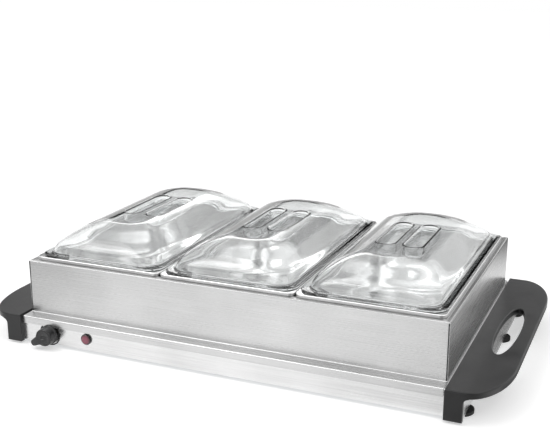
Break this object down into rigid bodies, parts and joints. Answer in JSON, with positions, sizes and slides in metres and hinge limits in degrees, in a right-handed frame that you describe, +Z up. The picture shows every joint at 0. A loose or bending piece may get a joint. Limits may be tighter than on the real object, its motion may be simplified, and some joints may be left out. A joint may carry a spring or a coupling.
{
  "type": "electric food warmer tray",
  "caption": "Long electric warming tray with handled black ends, carrying a steel frame of lift-out food pans under clear domed lids.",
  "frame": {"origin": "on the table under the middle of the tray", "axes": "+X along the tray from the knob's end to the plain end, -Y the front with knob and lamp, +Z up"},
  "size_m": [0.672, 0.401, 0.146],
  "materials": {
    "plate_steel": "brushed stainless sheet",
    "zinc_steel": "zinc-plated",
    "cap_plastic": "black, fine moulded texture",
    "knob_plastic": "black, satin",
    "rubber": "matte",
    "aluminium": "rolled sheet",
    "silicone": "white heating cord insulation",
    "insulation": "needled glass fibre",
    "bakelite": "moulded thermoset",
    "brass": "plain",
    "dial_print": "black",
    "lamp_red": "translucent red lens",
    "lamp_body": "ivory",
    "terminal_plastic": "white polyamide",
    "wire_sleeve": "heat-proof sleeving",
    "frame_steel": "brushed stainless sheet",
    "pan_steel": "satin drawn stainless with polished rim",
    "clear_lid": "water-clear polycarbonate"
  },
  "bodies": {
    "tray": {"housing": "plate_steel", "bottom_cover": "zinc_steel", "cover_screws": "zinc_steel", "foot_screws": "zinc_steel", "cap_screws": "zinc_steel", "end_cap_left": "cap_plastic", "end_cap_right": "cap_plastic", "rubber_feet": "rubber", "heat_spreader": "aluminium", "insulation_mat": "insulation", "element_clamp": "aluminium", "plate_studs": "zinc_steel", "stud_nuts": "zinc_steel", "heating_cord": "silicone", "cord_splices": "brass", "thermostat_body": "bakelite", "thermostat_nut": "brass", "dial_ring": "dial_print", "thermostat_bracket": "zinc_steel", "thermostat_tabs": "brass", "lamp_body": "lamp_body", "lamp_clip": "zinc_steel", "lamp_ring": "cap_plastic", "lamp_lens": "lamp_red", "thermal_fuse": "aluminium", "fuse_clip": "zinc_steel", "terminal_block": "terminal_plastic", "terminal_screws": "brass", "earth_stud": "brass", "earth_tag": "brass", "earth_nut": "brass", "cord_gland": "cap_plastic", "internal_wires": "wire_sleeve"},
    "control": {"thermostat_spindle": "zinc_steel", "knob": "knob_plastic"},
    "frame": {"front_panel": "frame_steel", "rear_panel": "frame_steel", "left_panel": "frame_steel", "right_panel": "frame_steel", "bracket_left_front": "zinc_steel", "bracket_left_rear": "zinc_steel", "bracket_right_front": "zinc_steel", "bracket_right_rear": "zinc_steel", "bracket_rivets": "zinc_steel"},
    "pan_left": {"pan_left": "pan_steel"},
    "lid_left": {"lid_left": "clear_lid"},
    "pan_middle": {"pan_middle": "pan_steel"},
    "lid_middle": {"lid_middle": "clear_lid"},
    "pan_right": {"pan_right": "pan_steel"},
    "lid_right": {"lid_right": "clear_lid"}
  },
  "joints": [
    {"name": "knob_turn", "type": "hinge", "parent": "tray", "child": "control", "pos_m": [-0.2329, -0.1865, 0.0175], "axis": [0, 1, 0], "range_deg": [0, 270]},
    {"name": "frame_lift", "type": "slide", "parent": "tray", "child": "frame", "axis": [0, 0, 1], "range_m": [0, 0.083]},
    {"name": "pan_left_lift", "type": "slide", "parent": "frame", "child": "pan_left", "axis": [0, 0, 1], "range_m": [0, 0.0974]},
    {"name": "lid_left_lift", "type": "slide", "parent": "pan_left", "child": "lid_left", "axis": [0, 0, 1], "range_m": [0, 0.083]},
    {"name": "pan_middle_lift", "type": "slide", "parent": "frame", "child": "pan_middle", "axis": [0, 0, 1], "range_m": [0, 0.0974]},
    {"name": "lid_middle_lift", "type": "slide", "parent": "pan_middle", "child": "lid_middle", "axis": [0, 0, 1], "range_m": [0, 0.083]},
    {"name": "pan_right_lift", "type": "slide", "parent": "frame", "child": "pan_right", "axis": [0, 0, 1], "range_m": [0, 0.0974]},
    {"name": "lid_right_lift", "type": "slide", "parent": "pan_right", "child": "lid_right", "axis": [0, 0, 1], "range_m": [0, 0.083]}
  ]
}
